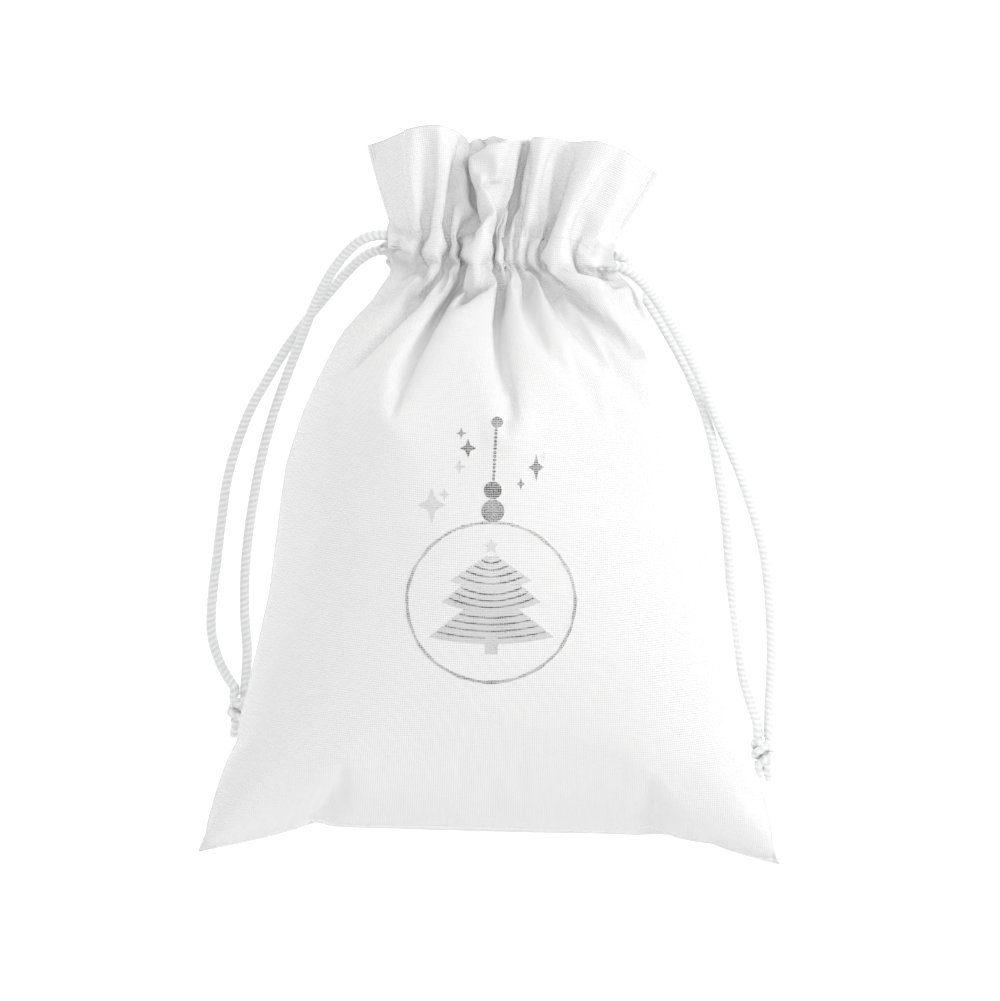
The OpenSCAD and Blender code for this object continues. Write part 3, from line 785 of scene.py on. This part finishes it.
STITCHES = []
for key, side in (("f", "front"), ("b", "back")):
    for level, up in (("upper", STITCH_HIGH), ("lower", STITCH_LOW)):
        starts = np.arange(STITCH_MARGIN, FLAT_W - STITCH_MARGIN, STITCH_PITCH)
        thread = tube(f"{side}_{level}_stitching_thread", [stitch(key, start, up) for start in starts],
                      STITCH_R, 6)
        stand_in(thread, "root", f"{side}_{level}_stitching")
        STITCHES.append(thread)


# --- Foil print ---
front_mesh = PANELS["front"].data
front_tree = BVHTree.FromPolygons([v.co for v in front_mesh.vertices],
                                  [tuple(f.vertices) for f in front_mesh.polygons])


WELL_ABOVE, DOWN = 200, Vector((0, 0, -1))


def press_on(x, y, lift):
    """The place on the cloth right below (x, y), lifted by lift."""
    hit, normal, _, _ = front_tree.ray_cast(Vector((x * MM, y * MM, WELL_ABOVE * MM)), DOWN)
    return np.array(hit) / MM + np.array(normal) * lift


def foil(name, strips, under=()):
    """Closed thin films; a strip is a list of rows of (x, y) points. Strips in under are dull and lower."""
    verts, faces, dull = [], [], []
    for rows, low in [(x, False) for x in strips] + [(x, True) for x in under]:
        r, c = len(rows), len(rows[0])
        ids = np.arange(r * c).reshape(r, c) + len(verts)
        for lift in (FOIL_T / 2 if low else FOIL_T, -FOIL_SUNK):
            verts += [press_on(x, y, lift) for row in rows for x, y in row]
        film = film_faces(ids, r * c)
        faces += film
        dull += [int(low)] * len(film)
    obj = make_mesh(name + "_film", verts, faces, smooth=False)
    obj.data.materials.append(None)
    obj.data.materials.append(None)
    obj.data.polygons.foreach_set("material_index", dull)
    stand_in(obj, "root", name)
    return obj


def disc(cx, cy, r):
    """A small disc as rows from its foot to its top."""
    rows = []
    for t in np.linspace(-0.97, 0.97, 9):
        w = r * math.sqrt(1 - t * t)
        rows.append([(cx + w * k, cy + r * t) for k in (-1, -0.5, 0, 0.5, 1)])
    return rows


def star(cx, cy, points, reach, waist, spread=1.0):
    """A pointed star as one kite for each point."""
    kites = []
    for k in range(points):
        a, half = math.radians(90 + 360.0 * k / points), math.pi / points
        tip, left, right = [(cx + spread * r * math.cos(t), cy + r * math.sin(t))
                            for r, t in ((reach, a), (waist, a + half), (waist, a - half))]
        kites.append([[(cx, cy), right], [left, tip]])
    return kites


def sparkle_kites(places):
    """Four-pointed stars, as strips of film."""
    return [kite for x, y, reach, spread in places
            for kite in star(x, y, 4, reach, reach * SPARKLE_WAIST, spread)]


def bar(low, high, half_low, half_high, sag):
    """A curved bar of the tree between two heights."""
    n = max(2, int(half_low))
    return [[(TREE_X + w * k / n, y - sag * (1 - (k / n) ** 2) + sag) for k in range(-n, n + 1)]
            for y, w in ((low, half_low), (high, half_high))]


def ring_rows():
    """The bauble's ring, whose line is a little uneven."""
    rows = []
    for a in np.radians(np.arange(0, 361, 1.5)):
        wobble = 0.06 * math.sin(7 * a) + 0.05 * math.sin(19 * a + 1)
        half = BAUBLE_LINE / 2 * (0.9 + 0.14 * math.sin(13 * a + 2) + 0.12 * math.sin(31 * a))
        middle = BAUBLE_R - BAUBLE_LINE / 2 + wobble
        rows.append([(BAUBLE_X + (middle + k * half) * math.cos(a),
                      BAUBLE_Y + (middle + k * half) * BAUBLE_SQUASH * math.sin(a)) for k in (1, -1)])
    return rows


BAR_LAP, BAR_IN = 0.1, 0.4   # a worn line reaches under its bars, and ends short of their ends


def tree_strips():
    """The tree's bright bars, and the worn lines between them."""
    bars, lines = [], []
    for low, high, wide, narrow, sag in TIERS:
        count = round((high - low) / BAR_PITCH)
        pitch = (high - low) / count
        for k in range(count):
            shares = [k / count, (k + 1 - BAR_GAP / pitch) / count, (k + 1) / count]
            halves = [wide + (narrow - wide) * t for t in shares]
            bow = sag * halves[0] / wide
            foot = low - sag + k * pitch + (sag - bow)
            bars.append(bar(foot, foot + pitch - BAR_GAP, halves[0], halves[1], bow))
            if k + 1 < count:
                lines.append(bar(foot + pitch - BAR_GAP - BAR_LAP, foot + pitch + BAR_LAP,
                                 halves[1] - BAR_IN, halves[2] - BAR_IN, bow))
    trunk = [[(TREE_X - TRUNK_HALF, y), (TREE_X, y), (TREE_X + TRUNK_HALF, y)]
             for y in (TREE_FOOT_Y, TIERS[0][0] + BAR_LAP)]
    x, y, reach = STAR
    return bars + [trunk] + star(x, y, 5, reach, reach * STAR_WAIST), lines


def chain_strips():
    """The beads that the bauble hangs by, and the knob at their top."""
    (x0, y0), (x1, y1) = CHAIN_FOOT, CHAIN_TOP
    shares = [k / (BEADS - 1) for k in range(BEADS)]
    return [disc(x0 + (x1 - x0) * t, y0 + (y1 - y0) * t, BEAD_R) for t in shares] + [disc(*KNOB)]


FOILS = [foil("foil_ring", [ring_rows()]),
         foil("foil_cap", [], [disc(*cap) for cap in CAPS]),
         foil("foil_chain", [], chain_strips()),
         foil("foil_tree", *tree_strips()),
         foil("foil_sparkles", sparkle_kites(SPARKLES), sparkle_kites(WORN_SPARKLES))]


# --- Materials ---
class Nodes:
    """Short hand for building a material's nodes."""

    def __init__(self, name):
        self.material = bpy.data.materials.new(name)
        self.material.use_nodes = True
        self.tree = self.material.node_tree
        self.shader = self.tree.nodes["Principled BSDF"]

    def add(self, kind, **settings):
        node = self.tree.nodes.new(kind)
        for name, value in settings.items():
            setattr(node, name, value)
        return node

    def link(self, a, b):
        self.tree.links.new(a, b)

    def math(self, operation, a, b=None):
        node = self.add("ShaderNodeMath", operation=operation)
        for k, value in enumerate((a, b)):
            if value is None:
                continue
            if isinstance(value, (int, float)):
                node.inputs[k].default_value = value
            else:
                self.link(value, node.inputs[k])
        return node.outputs[0]

    def constants(self, values):
        """Values that are the same all over, on the shader's own sockets."""
        for name, value in values.items():
            self.shader.inputs[name].default_value = value

    def noise(self, vector, scale, detail=3.0, rough=0.55):
        node = self.add("ShaderNodeTexNoise")
        node.inputs["Scale"].default_value = scale
        node.inputs["Detail"].default_value = detail
        node.inputs["Roughness"].default_value = rough
        self.link(vector, node.inputs["Vector"])
        return node.outputs["Fac"]

    def ramp(self, value, stops):
        node = self.add("ShaderNodeValToRGB")
        ramp = node.color_ramp
        while len(ramp.elements) < len(stops):
            ramp.elements.new(0.5)
        for element, (place, shade) in zip(ramp.elements, stops):
            element.position = place
            colour = (shade,) * 3 if isinstance(shade, (int, float)) else shade
            element.color = (*colour, 1)
        self.link(value, node.inputs[0])
        return node.outputs[0]

    def bump(self, height, distance, strength=1.0, under=None):
        node = self.add("ShaderNodeBump")
        node.inputs["Strength"].default_value = strength
        node.inputs["Distance"].default_value = distance
        self.link(height, node.inputs["Height"])
        if under is not None:
            self.link(under, node.inputs["Normal"])
        return node.outputs[0]

    def attribute(self, name):
        return self.add("ShaderNodeAttribute", attribute_name=name).outputs["Vector"]


WHITE = (0.945, 0.945, 0.945)
THREAD_WHITE = (0.92, 0.92, 0.92)
SATIN_GROOVE, SATIN_CREST = (0.77, 0.775, 0.78), (0.94, 0.94, 0.94)
WEAVE = 0.56           # millimetres between threads
RIBS = 0.45            # share of the weave's height that only the cross threads have


def weave_of(m, place):
    """A plain weave's height from a place in millimetres; its ribs across are a little prouder."""
    split = m.add("ShaderNodeSeparateXYZ")
    m.link(place, split.inputs[0])
    x = m.math("MULTIPLY", split.outputs[0], math.pi / WEAVE)
    y = m.math("MULTIPLY", split.outputs[1], math.pi / WEAVE)
    both = m.math("MULTIPLY", m.math("SINE", x), m.math("SINE", y))
    ribs = m.math("MULTIPLY", m.math("ABSOLUTE", m.math("SINE", y)), RIBS)
    return m.math("ADD", m.math("ABSOLUTE", both), ribs)


def cotton(name, shade, weave_depth):
    """Plain woven cotton: threads with slubs, soft creases, dull blotches, and painted shade in the weave's
    hollows.
    """
    m = Nodes(name)
    place = m.attribute("cloth_mm")
    grain = m.noise(place, scale=1.1, detail=4)
    blotch = m.noise(place, scale=0.05)
    slub = m.noise(place, scale=4.0, detail=2)
    weave = weave_of(m, place)
    height = m.math("ADD", m.math("MULTIPLY", weave, 0.45), m.math("MULTIPLY", grain, 0.5))
    # Darker where the weave and the grain lie low: painted shade in the weave's hollows, with random tone
    # from the grain
    colour = m.ramp(height, [(0.15, tuple(c * 0.95 for c in shade)), (0.75, shade)])
    m.link(colour, m.shader.inputs["Base Color"])
    m.link(m.ramp(blotch, [(0.2, 0.82), (0.8, 0.95)]), m.shader.inputs["Roughness"])
    coarse = m.bump(blotch, distance=0.0004, strength=0.35)
    threads = m.math("ADD", weave, m.math("MULTIPLY", slub, 0.5))
    m.link(m.bump(threads, distance=weave_depth, under=coarse), m.shader.inputs["Normal"])
    m.constants({"Specular IOR Level": 0.25, "Sheen Weight": 0.15, "Sheen Roughness": 0.5})
    return m.material


def satin(name):
    """Braided satin: fibres along the cord, and shade in the grooves of the braid."""
    m = Nodes(name)
    place = m.attribute("cord_mm")
    stretch = m.add("ShaderNodeMapping")
    stretch.inputs["Scale"].default_value = (1.0, 7.0, 1.0)
    m.link(place, stretch.inputs["Vector"])
    fibre = m.noise(stretch.outputs[0], scale=2.2, detail=4, rough=0.65)
    broad = m.noise(place, scale=0.5, detail=2)
    split = m.add("ShaderNodeSeparateXYZ")
    m.link(place, split.inputs[0])
    relief = split.outputs[2]
    shade = m.math("ADD", m.math("MULTIPLY", relief, 0.45), m.math("MULTIPLY", fibre, 0.7))
    colour = m.ramp(shade, [(0.1, SATIN_GROOVE), (0.6, SATIN_CREST)])
    m.link(colour, m.shader.inputs["Base Color"])
    m.link(m.ramp(broad, [(0.2, 0.34), (0.8, 0.5)]), m.shader.inputs["Roughness"])
    m.link(m.bump(fibre, distance=0.00012, strength=0.9), m.shader.inputs["Normal"])
    m.constants({"Specular IOR Level": 0.55, "Sheen Weight": 0.25, "Anisotropic": 0.4})
    return m.material


def thread(name, shade):
    """Sewing thread, or the rolled edge of a seam, with a fine twist."""
    m = Nodes(name)
    place = m.add("ShaderNodeTexCoord").outputs["Object"]
    twist = m.noise(place, scale=2600)
    colour = m.ramp(twist, [(0.3, tuple(c * 0.85 for c in shade)), (0.7, shade)])
    m.link(colour, m.shader.inputs["Base Color"])
    m.link(m.ramp(twist, [(0.2, 0.6), (0.8, 0.8)]), m.shader.inputs["Roughness"])
    m.link(m.bump(twist, distance=0.0001, strength=0.8), m.shader.inputs["Normal"])
    m.constants({"Sheen Weight": 0.2})
    return m.material


def silver(name, dark, light, speck):
    """Silver foil pressed into the weave, worn off in specks: dark below the level speck, light above."""
    m = Nodes(name)
    scaled = m.add("ShaderNodeMapping")
    scaled.inputs["Scale"].default_value = (1 / MM, 1 / MM, 0)
    m.link(m.add("ShaderNodeTexCoord").outputs["Object"], scaled.inputs["Vector"])
    fine = m.noise(scaled.outputs[0], scale=2.4, rough=0.6)
    broad = m.noise(scaled.outputs[0], scale=0.16)
    weave = weave_of(m, scaled.outputs[0])
    clustered = m.math("ADD", m.math("MULTIPLY", fine, 0.75), m.math("MULTIPLY", broad, 0.6))
    mixed = m.math("ADD", clustered, m.math("MULTIPLY", weave, 0.3))
    colour = m.ramp(mixed, [(speck, dark), (speck + 0.06, light * 0.85), (speck + 0.2, light)])
    m.link(colour, m.shader.inputs["Base Color"])
    m.link(m.ramp(broad, [(0.3, 0.48), (0.75, 0.66)]), m.shader.inputs["Roughness"])
    m.link(m.bump(mixed, distance=0.00015, strength=0.8), m.shader.inputs["Normal"])
    m.constants({"Metallic": 0.8, "Specular IOR Level": 0.6})
    return m.material


def dress(objs, material):
    for obj in objs:
        obj.data.materials.clear()
        obj.data.materials.append(material)


dress([PANELS["front"], PANELS["back"]], cotton("cotton_weave", WHITE, weave_depth=0.00011))
# The facing is the panel's own cloth, made 3% darker: painted shade inside the casing
facing_painted_shade_white = tuple(c * 0.97 for c in WHITE)
dress([PANELS["front_facing"], PANELS["back_facing"]],
      cotton("cotton_facing_painted_shade", facing_painted_shade_white, weave_depth=0.0001))
dress(SEAMS, thread("seam_fold", WHITE))
dress(STITCHES, thread("stitch_thread", THREAD_WHITE))
dress([o for o in bpy.data.objects if o.name.endswith("_cord")], satin("satin_braid"))
foil_light = silver("silver_foil_print", dark=0.25, light=0.74, speck=0.58)
foil_dark = silver("silver_foil_worn", dark=0.05, light=0.55, speck=0.78)
foil_line = silver("silver_foil_line", dark=0.1, light=0.68, speck=0.7)
for film in FOILS:
    film.data.materials[0] = foil_line if film.name == "foil_ring_film" else foil_light
    film.data.materials[1] = foil_dark


# --- Floor and light ---
FLOOR_HALF = 3000
FLOOR_Z = -0.0004      # metres; just below the pouch
WORLD_LIGHT = 0.735
LAMPS_AIM = (0, 0, 0.02)
far = FLOOR_HALF
floor = make_mesh("floor", [(-far, -far, 0), (far, -far, 0), (far, far, 0), (-far, far, 0)],
                  [(0, 1, 2, 3)], smooth=False)
floor.location.z = FLOOR_Z
paper = Nodes("floor_paper")
grain = paper.noise(paper.add("ShaderNodeTexCoord").outputs["Object"], scale=30)
paper.link(paper.ramp(grain, [(0.3, 0.9), (0.7, 0.92)]), paper.shader.inputs["Base Color"])
paper.constants({"Roughness": 0.9, "Emission Color": (1, 1, 1, 1), "Emission Strength": 0.5})
dress([floor], paper.material)

world = bpy.data.worlds.new("studio")
bpy.context.scene.world = world
world.use_nodes = True
background = world.node_tree.nodes["Background"]
background.inputs["Color"].default_value = (1.0, 1.0, 1.0, 1)
background.inputs["Strength"].default_value = WORLD_LIGHT


def area_light(name, at, size, power):
    """A soft square lamp that shines at the pouch."""
    data = bpy.data.lights.new(name, "AREA")
    data.energy = power
    data.size = size
    light = bpy.data.objects.new(name, data)
    bpy.context.scene.collection.objects.link(light)
    light.location = at
    light.rotation_euler = (Vector(LAMPS_AIM) - Vector(at)).to_track_quat("-Z", "Y").to_euler()


area_light("key", at=(0.75, 0.25, 0.55), size=0.45, power=3.0)
area_light("fill", at=(-0.5, 0.9, 0.9), size=0.8, power=0.6)
area_light("top", at=(0.0, 0.0, 1.1), size=0.3, power=1.8)
bpy.context.scene.view_settings.view_transform = "Standard"
